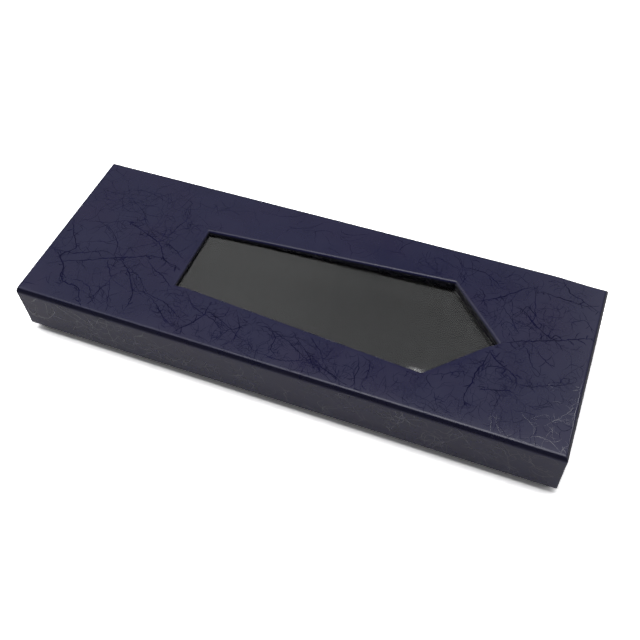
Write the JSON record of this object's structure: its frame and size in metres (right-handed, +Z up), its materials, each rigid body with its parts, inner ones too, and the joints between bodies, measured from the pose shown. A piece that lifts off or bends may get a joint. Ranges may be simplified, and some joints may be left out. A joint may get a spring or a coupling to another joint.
{
  "type": "tie gift box",
  "caption": "Long low presentation box for a folded necktie: lift-off lid with a tie-shaped film window over a tray with a padded floor.",
  "frame": {"origin": "middle of the underside that the tray stands on", "axes": "+X along the box towards the window's point, +Y to the back, +Z up"},
  "size_m": [0.38, 0.135, 0.044],
  "materials": {
    "leatherette": "satin",
    "bottom_cover": "satin",
    "greyboard": "matte",
    "stay_kraft": "matte",
    "black_lining": "matte",
    "clear_film": "gloss",
    "white_tape": "matte",
    "black_flock": "matte"
  },
  "bodies": {
    "base": {"base_wrap": "leatherette", "base_bottom_sheet": "bottom_cover", "base_bottom_board": "greyboard", "base_front_board": "greyboard", "base_back_board": "greyboard", "base_left_board": "greyboard", "base_right_board": "greyboard", "base_stay_front_left": "stay_kraft", "base_stay_front_right": "stay_kraft", "base_stay_back_left": "stay_kraft", "base_stay_back_right": "stay_kraft", "base_liner": "black_lining", "tie_pad": "black_flock"},
    "lid": {"lid_wrap": "leatherette", "lid_top_board": "greyboard", "lid_front_board": "greyboard", "lid_back_board": "greyboard", "lid_left_board": "greyboard", "lid_right_board": "greyboard", "lid_stay_front_left": "stay_kraft", "lid_stay_front_right": "stay_kraft", "lid_stay_back_left": "stay_kraft", "lid_stay_back_right": "stay_kraft", "lid_liner": "black_lining", "window_film": "clear_film", "film_tape": "white_tape"}
  },
  "joints": [
    {"name": "lid_lift", "type": "slide", "parent": "base", "child": "lid", "axis": [0, 0, 1], "range_m": [0, 0.06]}
  ]
}
